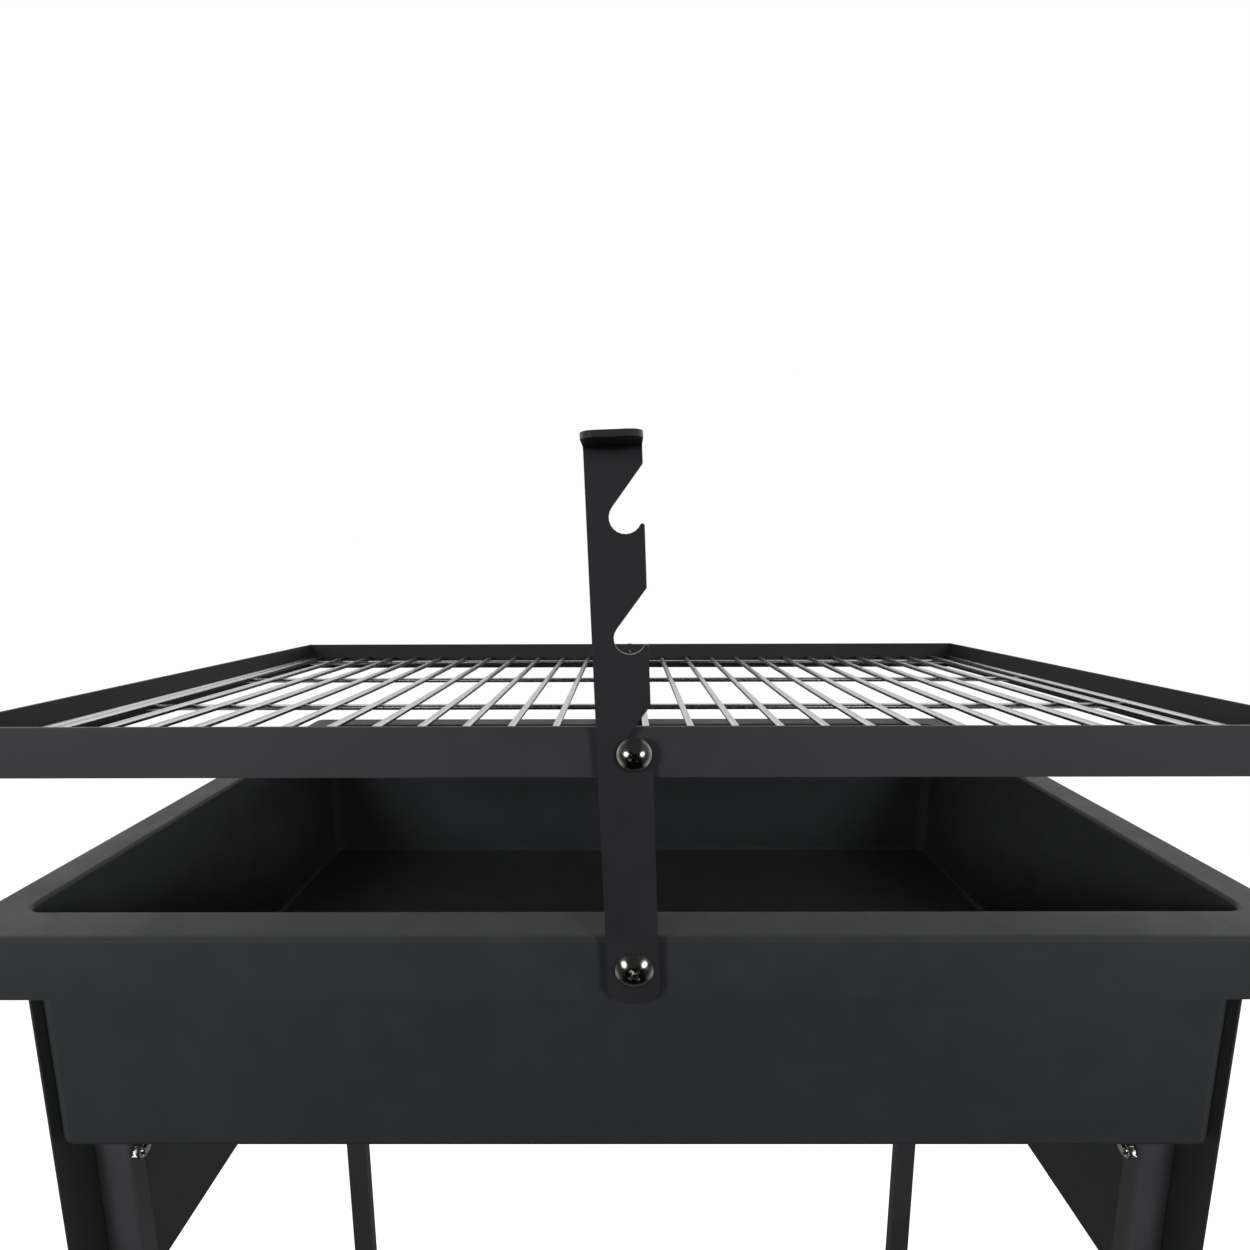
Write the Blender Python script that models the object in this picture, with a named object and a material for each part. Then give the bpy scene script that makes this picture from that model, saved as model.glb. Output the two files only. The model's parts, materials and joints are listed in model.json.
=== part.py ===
"""Standing charcoal grill with a hanging wire grate.

A rectangular fire pan with a turned-down rim stands on four tube legs and two end aprons. The grate hangs
in front from a notched rack that swings on a screw in the rim. At the back a long screw in its rail lies in
the open hook of a bracket on the pan's rear wall, so the grate tilts about the hook as its front is raised.
Metres, +Z up, origin on the ground under the middle of the whole grill. The front is at -Y.
"""

from math import atan2, ceil, cos, hypot, pi, radians, sin, tan

import bmesh
import bpy
from mathutils import Matrix, Vector

# Clearances
GAP = 0.0003            # between two faces that touch on the real grill
NOTCH_PLAY = 0.0003     # round a bush in its notch, and round a screw in its hole

# Fire pan, pressed from sheet
PAN_LENGTH = 0.600      # over the rim, along X
PAN_WIDTH = 0.316       # over the rim, along Y
PAN_DEPTH = 0.125       # rim top to the underside of the floor
RIM_HEIGHT = 0.720      # rim top above the ground
RIM_LIP = 0.029         # height of the turned-down lip
FLANGE_LONG = 0.018     # rim width along the long sides
FLANGE_END = 0.019      # rim width at the two ends
PAN_SHEET = 0.0015
FOLD_RADIUS = 0.0022    # outside radius of the rim's folds
FLOOR_RADIUS = 0.005    # outside radius between wall and floor
RIM_CORNER = 0.006      # plan radius of the rim's corners
WALL_CORNER = 0.009     # plan radius of the walls' corners

# Legs, rectangular tube, from the ground to under the pan
LEG_WIDTH = 0.019
LEG_DEPTH = 0.010
LEG_INSET = 0.017       # from the pan's long walls to the legs
LEG_WALL = 0.0012
LEG_CORNER = 0.002
CAP_WALL = 0.0018
CAP_FLOOR = 0.003
CAP_HEIGHT = 0.018

# End aprons, sheet with a hem folded outward
APRON_SHEET = 0.0012
APRON_REACH = 0.133     # underside of the pan to the apron's lower edge
APRON_HEM = 0.009

# Notched rack, flat bar with a finger tab
RACK_WIDTH = 0.022
RACK_THICKNESS = 0.0025
RACK_TOP = 0.2155       # pivot to the top of the finger tab
RACK_FOOT = 0.016       # pivot to the bar's lower end
RACK_CORNER = 0.008
RACK_BEND = 0.0045      # outside radius of the tab's bend
TAB_LENGTH = 0.022      # how far the tab stands out of the bar
TAB_CORNER = 0.005
PIVOT_DROP = 0.0115     # rim top down to the rack's pivot
NOTCH_FIRST = 0.0943    # pivot to the lowest notch, along the bar
NOTCH_PITCH = 0.0464
NOTCH_COUNT = 3
NOTCH_OFFSET = 0.0038   # notch centres from the bar's middle, towards the open edge
PIVOT_OFFSET = 0.0005   # the pivot from the bar's middle, the same way
NOTCH_ANGLE = radians(52.0)  # slope of the notch mouths above the bar's cross direction
LIP_ANGLE = radians(24.0)    # how far below level the seat's round ends at the lower lip
NOTCH_LIP = 0.0008      # rounding of the lips

# Rear hook, flat bar with an open slot in its upper end
HOOK_WIDTH = 0.022
HOOK_THICKNESS = 0.0025
HOOK_RISE = 0.0671      # rim top up to the screw that lies in the hook
HOOK_SEAT = 0.0033      # radius of the slot, wide enough for the screw to tilt in
HOOK_TOP = 0.0072       # from that screw up to the tips of the hook
HOOK_CORNER = 0.003
HOOK_SCREW_DROPS = (0.0125, 0.038)  # rim top down to the two screws in the rear wall

# Grate frame, flat bar on edge
GRATE_LENGTH = 0.575
RAIL_HEIGHT = 0.021
RAIL_THICKNESS = 0.002
HANGER_DROP = 0.010     # top of the rail down to the hanging screws
RACK_PLAY = 0.001       # rack to the rail, at the hanging screw
HEAD_PLAY = 0.0014      # rack to the hanging screw's head, so that the head tilts clear of the bar
HOOK_PLAY = 0.0064      # hook to the rear rail
SLIDE = 0.021           # how far the rear screw can slide through the hook

# Wire grid
WIRE = 0.0034           # wire diameter
WIRE_DROP = 0.012       # top of the rail down to the long wires' middle
WIRE_PITCH = 0.0217
NUT_CLEARANCE = 0.0006  # from the hanger nuts to the long wire beside them
BORDER_SEAT = 0.0012    # from the side rails to the border wires
GRID_MARGIN = 0.0028    # least space between a border wire and the next long wire
WELD = 0.0005           # how deep the wires are welded into each other
CROSS_COUNT = 4
CROSS_INSET = 0.0115    # from the long rails to the first cross wire's middle

# Screws and nuts
SCREW = 0.005           # shank diameter
NUT_FLATS = 0.008
NUT_HEIGHT = 0.004
SCREW_END = 0.0012      # how far a screw stands out of its nut
HANGER_HEAD = 0.014
PIVOT_HEAD = 0.016
HEAD_HEIGHT = 0.0032
BOLT_HEAD = 0.011       # heads of the leg and apron screws
BOLT_HEAD_HEIGHT = 0.0026
BUSH = 0.012            # diameter of the bush that lies in a notch
WASHER = 0.014
WASHER_THICKNESS = 0.001
LEG_BOLT_DROPS = (0.025, 0.115)  # underside of the pan down to the two screws of each leg

# Facets
ROUND = 24
SMALL_ROUND = 12        # the stand's own screws, nuts and holes, a multiple of 12 like ROUND
WIRE_SIDES = 8
CORNER_STEPS = 4
HEAD_RINGS = 4

# Places worked out from the sizes above
HOLE = SCREW + 2 * NOTCH_PLAY
WALL_X = PAN_LENGTH / 2 - FLANGE_END
WALL_Y = PAN_WIDTH / 2 - FLANGE_LONG
LEG_X = WALL_X - LEG_WIDTH / 2
LEG_Y = WALL_Y - LEG_INSET - LEG_DEPTH / 2
PAN_UNDER = RIM_HEIGHT - PAN_DEPTH
LEG_TOP = PAN_UNDER - GAP
APRON_TOP = RIM_HEIGHT - FOLD_RADIUS - GAP   # below the fold between wall and rim
APRON_IN = WALL_X + GAP
APRON_OUT = APRON_IN + APRON_SHEET
WASHER_IN = PAN_WIDTH / 2 + GAP
RACK_IN = WASHER_IN + WASHER_THICKNESS + GAP
RACK_OUT = RACK_IN + RACK_THICKNESS
HOOK_Y = WALL_Y - PAN_SHEET - GAP - HOOK_THICKNESS / 2
HOOK_Z = RIM_HEIGHT + HOOK_RISE
PIVOT_Z = RIM_HEIGHT - PIVOT_DROP
LEAN = atan2(NOTCH_OFFSET - PIVOT_OFFSET, NOTCH_FIRST)  # brings the lowest notch right above the pivot
HANGER_Z = PIVOT_Z + hypot(NOTCH_OFFSET - PIVOT_OFFSET, NOTCH_FIRST)
RAIL_BELOW = RAIL_HEIGHT - HANGER_DROP   # hanging screws down to the bottom of the rail
SIDES = {"front": -1, "back": 1}
ENDS = {"left": -1, "right": 1}
LEVELS = {"upper": 0, "lower": 1}

# The grate in its own frame: X and Y in its plane, origin where the rear screw's axis crosses the hook
SPAN_Y = HOOK_Y + (RACK_IN + RACK_OUT) / 2
SPAN = hypot(SPAN_Y, HANGER_Z - HOOK_Z)
TILT = atan2(HANGER_Z - HOOK_Z, SPAN_Y)  # the back of the grate lies lower than its front
RACK_FACE = RACK_THICKNESS / 2 - SPAN    # inner face of the rack, along the grate's Y
FRONT_IN = RACK_FACE + RACK_PLAY + RAIL_THICKNESS
BACK_IN = -(HOOK_THICKNESS / 2 + HOOK_PLAY + RAIL_THICKNESS)
GRATE_Y = (FRONT_IN + BACK_IN) / 2
HALF_SPAN = (BACK_IN - FRONT_IN) / 2
SIDE_IN = GRATE_LENGTH / 2 - RAIL_THICKNESS
LONG_WIRE_Z = HANGER_DROP - WIRE_DROP
CROSS_WIRE_Z = LONG_WIRE_Z - WIRE * cos(pi / WIRE_SIDES) + WELD


def clear_scene():
    for obj in list(bpy.data.objects):
        bpy.data.objects.remove(obj, do_unlink=True)


def material(name, color, roughness, metallic):
    made = bpy.data.materials.new(name)
    made.use_nodes = True
    shader = made.node_tree.nodes["Principled BSDF"]
    shader.inputs["Base Color"].default_value = (*color, 1.0)
    shader.inputs["Roughness"].default_value = roughness
    shader.inputs["Metallic"].default_value = metallic
    return made


def to_mesh(name, bm, mat, smooth_below=radians(35)):
    """Turns a bmesh into a mesh with outward faces, smooth along its round stretches."""
    bmesh.ops.recalc_face_normals(bm, faces=bm.faces)
    mesh = bpy.data.meshes.new(name)
    bm.to_mesh(mesh)
    bm.free()
    mesh.shade_smooth()
    mesh.set_sharp_from_angle(angle=smooth_below)
    mesh.materials.append(mat)
    return mesh


def put(name, mesh, place, carrier=None):
    """Makes an object from a mesh at a place in the world. A carrier is the empty that it moves with."""
    obj = bpy.data.objects.new(name, mesh)
    obj.matrix_basis = place
    if carrier:
        obj.parent = carrier
        obj.matrix_parent_inverse = carrier.matrix_basis.inverted()
    bpy.context.scene.collection.objects.link(obj)
    return obj


def combine(obj, bm, operation):
    """Joins the closed shapes in a bmesh, drawn in the object's own frame, to it, or cuts them out of it."""
    name = f"{obj.name}_{'cutter' if operation == 'DIFFERENCE' else 'addition'}"
    helper = put(name, to_mesh(name, bm, obj.data.materials[0]), obj.matrix_basis, obj.parent)
    helper.hide_render = True
    helper.display_type = "WIRE"
    boolean = obj.modifiers.new(name, "BOOLEAN")
    boolean.operation = operation
    boolean.solver = "EXACT"
    boolean.object = helper


def at(x, y, z):
    return Matrix.Translation((x, y, z))


def facing(axis, sign):
    """Turns local Z outward along X or Y, for the given sign."""
    return Matrix.Rotation(sign * pi / 2, 4, "Y") if axis == "X" else Matrix.Rotation(-sign * pi / 2, 4, "X")


def arc(cx, cy, radius, start, end, steps):
    angles = [start + (end - start) * i / steps for i in range(steps + 1)]
    return [(cx + radius * cos(angle), cy + radius * sin(angle)) for angle in angles]


def circle(radius, count, turn=0.0):
    return arc(0, 0, radius, turn, turn + 2 * pi, count)[:-1]


def rounded_rectangle(half_x, half_y, radius, z, steps=CORNER_STEPS):
    """Plan outline at a height, anticlockwise, each corner an arc."""
    points = []
    for quarter, (sx, sy) in enumerate(((1, 1), (-1, 1), (-1, -1), (1, -1))):
        start = quarter * pi / 2
        points += arc(sx * (half_x - radius), sy * (half_y - radius), radius, start, start + pi / 2, steps)
    return [(x, y, z) for x, y in points]


def rounded_corner(before, corner, after, radius, steps=3):
    """Points of an arc that rounds a corner between two neighbours."""
    a = (Vector(before) - Vector(corner)).normalized()
    b = (Vector(after) - Vector(corner)).normalized()
    half = a.angle(b) / 2
    centre = Vector(corner) + (a + b).normalized() * (radius / sin(half))
    first = Vector(corner) + a * (radius / tan(half)) - centre
    last = Vector(corner) + b * (radius / tan(half)) - centre
    start = atan2(first.y, first.x)
    sweep = (atan2(last.y, last.x) - start + pi) % (2 * pi) - pi
    return arc(centre.x, centre.y, radius, start, start + sweep, steps)


def stack(bm, loops, capped=True):
    """Joins loops of equal count one to the next, and caps the ends or joins the last to the first."""
    rings = [[bm.verts.new(point) for point in loop] for loop in loops]
    count = len(rings[0])
    pairs = list(zip(rings, rings[1:]))
    if capped:
        bm.faces.new(rings[0])
        bm.faces.new(list(reversed(rings[-1])))
    else:
        pairs.append((rings[-1], rings[0]))
    for low, high in pairs:
        for i in range(count):
            j = (i + 1) % count
            bm.faces.new((low[j], low[i], high[i], high[j]))


def turned(bm, profile, place=Matrix(), count=ROUND, turn=0.0, capped=True):
    """Revolves (radius, height) points about the local Z axis of a place."""
    stack(bm, [[place @ Vector((x, y, z)) for x, y in circle(r, count, turn)] for r, z in profile], capped)


def drill(bm, axis, x, y, z, depth, count):
    """A round hole's cutter, centred on a point and running along X or Y."""
    turned(bm, [(HOLE / 2, -depth), (HOLE / 2, depth)], at(x, y, z) @ facing(axis, 1), count)


def box(bm, half_x, half_y, low, high):
    corners = ((-1, -1), (1, -1), (1, 1), (-1, 1))
    stack(bm, [[(sx * half_x, sy * half_y, z) for sx, sy in corners] for z in (low, high)])


def screw_mesh(name, mat, head, head_height, length, count=ROUND):
    """A truss-head screw: head above the local XY plane, shank below it."""
    crown = (head * head / 4 + head_height * head_height) / (2 * head_height)
    rise = atan2(head / 2, crown - head_height)
    dome = arc(0, head_height - crown, crown, pi / 2 - rise, pi / 2, HEAD_RINGS)[:-1]
    bm = bmesh.new()
    turned(bm, [(SCREW / 2, -length), (SCREW / 2, 0.0), *dome, (head / 24, head_height)], count=count)
    return to_mesh(name, bm, mat)


def ring_mesh(name, mat, outer, bottom, top):
    """A bush or washer round a screw, between two heights."""
    bm = bmesh.new()
    turned(bm, [(HOLE / 2, bottom), (outer / 2, bottom), (outer / 2, top), (HOLE / 2, top)], capped=False)
    return to_mesh(name, bm, mat)


def nut_mesh(name, mat, top, count=ROUND):
    """A hexagon nut under a height, with flats across local X. Its corners fall on points of the circle."""
    outside = []
    for x, y in circle(1.0, count):
        off_flat = (atan2(y, x) + pi / 6) % (pi / 3) - pi / 6
        radius = NUT_FLATS / 2 / cos(off_flat)
        outside.append((radius * x, radius * y))
    bore = circle(HOLE / 2, count)
    bottom = top - NUT_HEIGHT
    levels = ((bore, bottom), (outside, bottom), (outside, top), (bore, top))
    bm = bmesh.new()
    stack(bm, [[(x, y, z) for x, y in outline] for outline, z in levels], capped=False)
    return to_mesh(name, bm, mat)


def make_fire_pan(mat):
    """One sheet from the floor over the rim to the lip, built as plan outlines joined up the section."""
    lean = FOLD_RADIUS - PAN_SHEET
    floor_in = FLOOR_RADIUS - PAN_SHEET
    fold_z = PAN_DEPTH - FOLD_RADIUS
    section = []  # (on the wall instead of the lip, inset, height above the underside of the floor)

    def fold(on_wall, inset, height, radius, start, end, steps=2):
        for across, up in arc(inset, height, radius, radians(start), radians(end), steps):
            section.append((on_wall, across, up))

    fold(1, FLOOR_RADIUS, FLOOR_RADIUS, floor_in, 270, 180, 3)
    fold(1, -lean, fold_z, FOLD_RADIUS, 0, 90)
    fold(0, FOLD_RADIUS, fold_z, FOLD_RADIUS, 90, 180)
    section.append((0, 0.0, PAN_DEPTH - RIM_LIP))
    section.append((0, PAN_SHEET, PAN_DEPTH - RIM_LIP))
    fold(0, FOLD_RADIUS, fold_z, lean, 180, 90, 1)
    fold(1, -lean, fold_z, lean, 90, 0, 1)
    fold(1, FLOOR_RADIUS, FLOOR_RADIUS, FLOOR_RADIUS, 180, 270, 3)

    loops = []
    for on_wall, inset, height in section:
        half_x = (WALL_X if on_wall else PAN_LENGTH / 2) - inset
        half_y = (WALL_Y if on_wall else PAN_WIDTH / 2) - inset
        corner = (WALL_CORNER if on_wall else RIM_CORNER) - inset
        loops.append(rounded_rectangle(half_x, half_y, corner, height))
    bm = bmesh.new()
    stack(bm, loops)
    pan = put("fire_pan", to_mesh("fire_pan", bm, mat), at(0, 0, PAN_UNDER))

    holes = bmesh.new()
    drill(holes, "Y", 0, -PAN_WIDTH / 2, PAN_DEPTH - PIVOT_DROP, 3 * PAN_SHEET, ROUND)
    for drop in HOOK_SCREW_DROPS:
        drill(holes, "Y", 0, WALL_Y, PAN_DEPTH - drop, 3 * PAN_SHEET, SMALL_ROUND)
    combine(pan, holes, "DIFFERENCE")


def make_legs(tube_mat, cap_mat):
    """Four tubes with a cap over each lower end, drawn from the ground up."""

    def outline(grow, z):
        return rounded_rectangle(LEG_WIDTH / 2 + grow, LEG_DEPTH / 2 + grow, LEG_CORNER + grow, z)

    low = CAP_FLOOR + GAP
    bm = bmesh.new()
    walls = ((0.0, low), (0.0, LEG_TOP), (-LEG_WALL, LEG_TOP), (-LEG_WALL, low))
    stack(bm, [outline(grow, z) for grow, z in walls], capped=False)
    tube = to_mesh("leg", bm, tube_mat)

    skin = GAP + CAP_WALL
    edge = LEG_CORNER / 2
    bm = bmesh.new()
    levels = ((GAP, CAP_FLOOR), (GAP, CAP_HEIGHT), (skin, CAP_HEIGHT), (skin, edge), (skin - edge, 0.0))
    stack(bm, [outline(grow, z) for grow, z in levels])
    cap = to_mesh("foot_cap", bm, cap_mat)

    for side_name, side in SIDES.items():
        for end_name, end in ENDS.items():
            place = at(end * LEG_X, side * LEG_Y, 0)
            leg = put(f"leg_{side_name}_{end_name}", tube, place)
            holes = bmesh.new()
            for drop in LEG_BOLT_DROPS:
                drill(holes, "X", 0, 0, PAN_UNDER - drop, LEG_WIDTH, SMALL_ROUND)
            combine(leg, holes, "DIFFERENCE")
            put(f"foot_cap_{side_name}_{end_name}", cap, place)


def make_aprons(mat):
    """A sheet across each end, from under the rim to below the pan, its lower edge folded outward."""
    low = PAN_UNDER - APRON_REACH
    section = (
        (0.0, low), (APRON_HEM, low), (APRON_HEM, low + APRON_SHEET),
        (APRON_SHEET, low + APRON_SHEET), (APRON_SHEET, APRON_TOP), (0.0, APRON_TOP),
    )
    bm = bmesh.new()
    stack(bm, [[(x, y, z) for x, z in section] for y in (-WALL_Y, WALL_Y)])
    sheet = to_mesh("end_apron", bm, mat)
    for end_name, end in ENDS.items():
        turn = Matrix.Rotation(pi if end < 0 else 0, 4, "Z")
        apron = put(f"end_apron_{end_name}", sheet, at(end * APRON_IN, 0, 0) @ turn)
        holes = bmesh.new()
        for side in SIDES.values():
            for drop in LEG_BOLT_DROPS:
                drill(holes, "X", 0, side * LEG_Y, PAN_UNDER - drop, 2 * APRON_SHEET, SMALL_ROUND)
        combine(apron, holes, "DIFFERENCE")


def make_leg_screws(mat):
    """The screws that hold the legs to the aprons, with their heads outside."""
    grip = APRON_OUT + GAP - (LEG_X - LEG_WIDTH / 2) + GAP
    length = grip + NUT_HEIGHT + SCREW_END
    screw = screw_mesh("leg_screw", mat, BOLT_HEAD, BOLT_HEAD_HEIGHT, length, SMALL_ROUND)
    nut = nut_mesh("leg_nut", mat, -grip, SMALL_ROUND)
    for end_name, end in ENDS.items():
        for side_name, side in SIDES.items():
            for level_name, level in LEVELS.items():
                z = PAN_UNDER - LEG_BOLT_DROPS[level]
                place = at(end * (APRON_OUT + GAP), side * LEG_Y, z) @ facing("X", end)
                put(f"leg_screw_{side_name}_{end_name}_{level_name}", screw, place)
                put(f"leg_nut_{side_name}_{end_name}_{level_name}", nut, place)


def make_hook(bar_mat, screw_mat):
    """The bracket that stands on the rear wall, forked at its upper end, and the two screws that hold it."""
    half = HOOK_WIDTH / 2
    foot = -HOOK_RISE - HOOK_SCREW_DROPS[1] - half
    prong = half - HOOK_CORNER
    outline = [
        *arc(0, foot + half, half, pi, 2 * pi, ROUND // 2),
        *arc(prong, HOOK_TOP - HOOK_CORNER, HOOK_CORNER, 0, pi / 2, CORNER_STEPS),
        (HOOK_SEAT, HOOK_TOP),
        *arc(0, 0, HOOK_SEAT, 0, -pi, ROUND // 2),
        (-HOOK_SEAT, HOOK_TOP),
        *arc(-prong, HOOK_TOP - HOOK_CORNER, HOOK_CORNER, pi / 2, pi, CORNER_STEPS),
    ]
    bm = bmesh.new()
    stack(bm, [[(x, y, z) for x, z in outline] for y in (-HOOK_THICKNESS / 2, HOOK_THICKNESS / 2)])
    hook = put("rear_hook", to_mesh("rear_hook", bm, bar_mat), at(0, HOOK_Y, HOOK_Z))
    holes = bmesh.new()
    for drop in HOOK_SCREW_DROPS:
        drill(holes, "Y", 0, 0, -HOOK_RISE - drop, HOOK_THICKNESS, SMALL_ROUND)
    combine(hook, holes, "DIFFERENCE")

    face = HOOK_Y - HOOK_THICKNESS / 2 - GAP   # underside of the screws' heads, inside the pan
    grip = WALL_Y + GAP - face
    length = grip + NUT_HEIGHT + SCREW_END
    screw = screw_mesh("hook_screw", screw_mat, BOLT_HEAD, BOLT_HEAD_HEIGHT, length, SMALL_ROUND)
    nut = nut_mesh("hook_nut", screw_mat, -grip, SMALL_ROUND)
    for level_name, level in LEVELS.items():
        place = at(0, face, RIM_HEIGHT - HOOK_SCREW_DROPS[level]) @ facing("Y", -1)
        put(f"hook_screw_{level_name}", screw, place)
        put(f"hook_nut_{level_name}", nut, place)


def notch_points(height):
    """One notch in the bar's own plane: its lower lip, its round seat and the slanted side of its mouth."""
    radius = BUSH / 2 + NOTCH_PLAY
    edge = RACK_WIDTH / 2
    across, up = cos(NOTCH_ANGLE), sin(NOTCH_ANGLE)
    lower = (edge, height - radius * sin(LIP_ANGLE))
    rise = (edge - NOTCH_OFFSET + radius * up) * up / across
    upper = (edge, height + radius * across + rise)
    return [
        *rounded_corner((edge, lower[1] - 1), lower, (edge - 1, lower[1]), NOTCH_LIP),
        *arc(NOTCH_OFFSET, height, radius, -LIP_ANGLE, NOTCH_ANGLE - 3 * pi / 2, ROUND // 2),
        *rounded_corner((edge - across, upper[1] - up), upper, (edge, upper[1] + 1), NOTCH_LIP),
    ]


def rack_mesh(mat):
    """A notched flat bar whose upper end is bent outward as a finger tab. Outward is local -Y."""
    half = RACK_WIDTH / 2
    inner_bend = RACK_BEND - RACK_THICKNESS
    bend_start = RACK_TOP - RACK_BEND
    bend_steps = 4
    bend_length = RACK_BEND * pi / 2
    tab_start = bend_start + bend_length
    tab_end = tab_start + TAB_LENGTH - RACK_BEND

    foot = RACK_CORNER - RACK_FOOT
    bar = arc(RACK_CORNER - half, foot, RACK_CORNER, pi, 1.5 * pi, CORNER_STEPS)
    bar += arc(half - RACK_CORNER, foot, RACK_CORNER, 1.5 * pi, 2 * pi, CORNER_STEPS)
    for i in range(NOTCH_COUNT):
        bar += notch_points(NOTCH_FIRST + i * NOTCH_PITCH)
    bar += [(half, bend_start), (-half, bend_start)]
    tab = [
        (-half, tab_start), (half, tab_start),
        *arc(half - TAB_CORNER, tab_end - TAB_CORNER, TAB_CORNER, 0, pi / 2, CORNER_STEPS),
        *arc(-half + TAB_CORNER, tab_end - TAB_CORNER, TAB_CORNER, pi / 2, pi, CORNER_STEPS),
    ]

    def bent(u, s, out):
        """Where a point of the blank, across, along and out from the inner face, lies on the bent bar."""
        u -= PIVOT_OFFSET
        if s <= bend_start:
            return u, -out, s
        turn = min((s - bend_start) / bend_length, 1.0) * pi / 2
        past = max(s - tab_start, 0.0)
        radius = inner_bend + RACK_THICKNESS - out
        depth = RACK_THICKNESS + inner_bend - radius * cos(turn) + past * sin(turn)
        return u, -depth, bend_start + radius * sin(turn) + past * cos(turn)

    bm = bmesh.new()

    def sheet(out):
        """One face of the bar: its flat, the bend's strips and the tab, and the edge round them all."""
        made = {}

        def vert(point):
            key = (round(point[0], 7), round(point[1], 7))
            if key not in made:
                made[key] = bm.verts.new(bent(*point, out))
            return made[key]

        faces = [[vert(p) for p in bar], [vert(p) for p in tab]]
        rows = [bend_start + bend_length * i / bend_steps for i in range(bend_steps + 1)]
        for low, high in zip(rows, rows[1:]):
            faces.append([vert((-half, low)), vert((half, low)), vert((half, high)), vert((-half, high))])
        bends = rows[1:-1]
        edge = (
            [vert(p) for p in bar[:-1]] + [vert((half, s)) for s in bends] + [vert(p) for p in tab[1:]]
            + [vert(tab[0])] + [vert((-half, s)) for s in reversed(bends)] + [vert(bar[-1])]
        )
        return faces, edge

    inner_faces, inner_edge = sheet(0.0)
    outer_faces, outer_edge = sheet(RACK_THICKNESS)
    for face in inner_faces:
        bm.faces.new(list(reversed(face)))
    for face in outer_faces:
        bm.faces.new(face)
    count = len(inner_edge)
    for i in range(count):
        j = (i + 1) % count
        bm.faces.new((inner_edge[i], inner_edge[j], outer_edge[j], outer_edge[i]))
    return to_mesh("rack", bm, mat)


def make_rack(bar_mat, screw_mat):
    """The rack, with its origin on its pivot, and the screw, washer and nut that hold it to the lip."""
    turn = Matrix.Rotation(-LEAN, 4, "Y")
    rack = put("rack_front", rack_mesh(bar_mat), at(0, -RACK_IN, PIVOT_Z) @ turn)
    hole = bmesh.new()
    drill(hole, "Y", 0, 0, 0, 2 * RACK_THICKNESS, ROUND)
    combine(rack, hole, "DIFFERENCE")

    face = RACK_OUT + GAP                      # underside of the screw's head
    lip_in = PAN_WIDTH / 2 - PAN_SHEET - GAP   # where the nut sits behind the lip
    length = face - lip_in + NUT_HEIGHT + SCREW_END
    washer_low = WASHER_IN - face
    place = at(0, -face, PIVOT_Z) @ facing("Y", -1)
    put("pivot_screw_front", screw_mesh("pivot_screw", screw_mat, PIVOT_HEAD, HEAD_HEIGHT, length), place)
    washer = ring_mesh("pivot_washer", screw_mat, WASHER, washer_low, washer_low + WASHER_THICKNESS)
    put("pivot_washer_front", washer, place)
    put("pivot_nut_front", nut_mesh("pivot_nut", screw_mat, lip_in - face), place)


def make_hangers(mat, carrier):
    """The front screw with the bush that lies in a notch, and the rear screw that lies in the hook."""
    place = carrier.matrix_basis
    inside = GAP + NUT_HEIGHT + SCREW_END      # how far the screws stand inside their rails

    face = RACK_FACE - RACK_THICKNESS - HEAD_PLAY
    reach = FRONT_IN - face
    front = place @ at(0, face, 0) @ facing("Y", -1)
    screw = screw_mesh("front_hanger_screw", mat, HANGER_HEAD, HEAD_HEIGHT, reach + inside)
    put("hanger_screw_front", screw, front, carrier)
    bush = ring_mesh("hanger_bush", mat, BUSH, RAIL_THICKNESS + GAP - reach, -GAP)
    put("hanger_bush_front", bush, front, carrier)
    put("hanger_nut_front", nut_mesh("front_hanger_nut", mat, -reach - GAP), front, carrier)

    face = HOOK_THICKNESS / 2 + SLIDE
    reach = face - BACK_IN
    back = place @ at(0, face, 0) @ facing("Y", 1)
    screw = screw_mesh("rear_hanger_screw", mat, HANGER_HEAD, HEAD_HEIGHT, reach + inside)
    put("hanger_screw_back", screw, back, carrier)
    put("hanger_nut_back", nut_mesh("rear_hanger_nut", mat, -reach - GAP), back, carrier)


def make_grate_frame(mat, carrier):
    """Two long rails over the whole length and two side rails between them."""
    place = carrier.matrix_basis
    bm = bmesh.new()
    box(bm, GRATE_LENGTH / 2, RAIL_THICKNESS / 2, -RAIL_BELOW, HANGER_DROP)
    long_rail = to_mesh("long_rail", bm, mat)
    bm = bmesh.new()
    box(bm, RAIL_THICKNESS / 2, HALF_SPAN - GAP, -RAIL_BELOW, HANGER_DROP)
    side_rail = to_mesh("side_rail", bm, mat)
    for side_name, side in SIDES.items():
        y = GRATE_Y + side * (HALF_SPAN + RAIL_THICKNESS / 2)
        rail = put(f"grate_rail_{side_name}", long_rail, place @ at(0, y, 0), carrier)
        hole = bmesh.new()
        drill(hole, "Y", 0, 0, 0, 2 * RAIL_THICKNESS, ROUND)
        combine(rail, hole, "DIFFERENCE")
    for end_name, end in ENDS.items():
        x = end * (SIDE_IN + RAIL_THICKNESS / 2)
        put(f"grate_rail_{end_name}", side_rail, place @ at(x, GRATE_Y, 0), carrier)


def wire(bm, axis, offset, z, half_length):
    """A straight wire centred on the grate, along Y at x = offset or along X at y = offset."""
    x, y = (offset, 0) if axis == "Y" else (0, offset)
    ends = [(WIRE / 2, -half_length), (WIRE / 2, half_length)]
    turned(bm, ends, at(x, y, z) @ facing(axis, 1), WIRE_SIDES, pi / WIRE_SIDES)


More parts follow.
